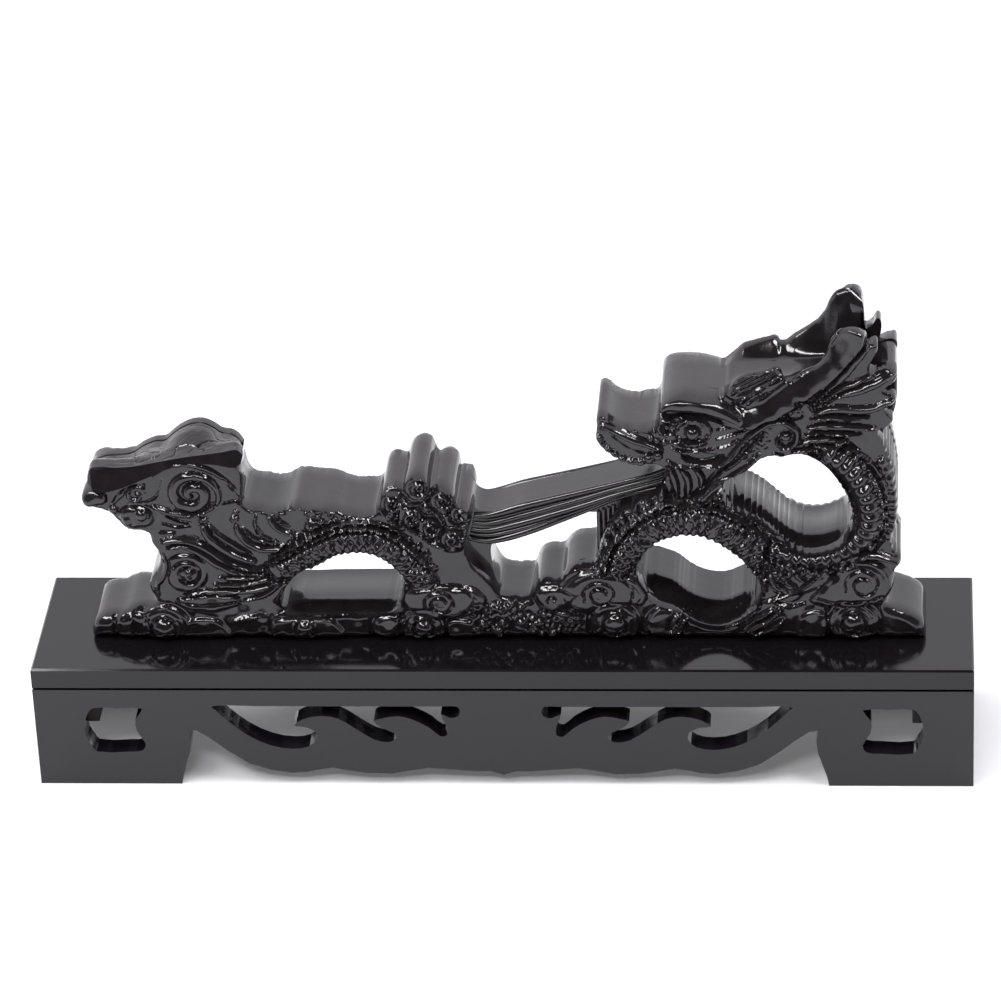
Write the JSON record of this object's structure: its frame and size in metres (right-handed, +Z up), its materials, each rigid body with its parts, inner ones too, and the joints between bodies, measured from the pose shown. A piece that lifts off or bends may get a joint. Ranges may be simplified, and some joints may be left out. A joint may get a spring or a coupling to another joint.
{
  "type": "dragon brush and ink stick rest on a fretwork stand",
  "caption": "Gloss black carved dragon rest for a brush, pen or ink stick, standing on a lacquered board with wave fretwork aprons.",
  "frame": {"origin": "on the table, under the middle of the stand", "axes": "+X along the stand towards the dragon's horned head, +Y away from the carved front, +Z up"},
  "size_m": [0.36, 0.069, 0.1883],
  "materials": {
    "gloss_resin": "thick gloss black lacquer over a resin casting",
    "board_lacquer": "gloss black lacquer over fibreboard, faint orange peel",
    "apron_lacquer": "satin black lacquer over fibreboard, rough dark cut edges",
    "bare_wood": "bare softwood, sawn, with glue at its edges",
    "zinc_steel": "zinc plated"
  },
  "bodies": {
    "root": {"dragon_casting": "gloss_resin", "top_board": "board_lacquer", "front_apron": "apron_lacquer", "rear_apron": "apron_lacquer", "left_end_panel": "apron_lacquer", "right_end_panel": "apron_lacquer", "corner_block_front_left": "bare_wood", "corner_screw_front_left": "zinc_steel", "corner_block_front_right": "bare_wood", "corner_screw_front_right": "zinc_steel", "corner_block_rear_left": "bare_wood", "corner_screw_rear_left": "zinc_steel", "corner_block_rear_right": "bare_wood", "corner_screw_rear_right": "zinc_steel", "dragon_screw_left": "zinc_steel", "dragon_screw_middle": "zinc_steel", "dragon_screw_right": "zinc_steel"}
  },
  "joints": []
}
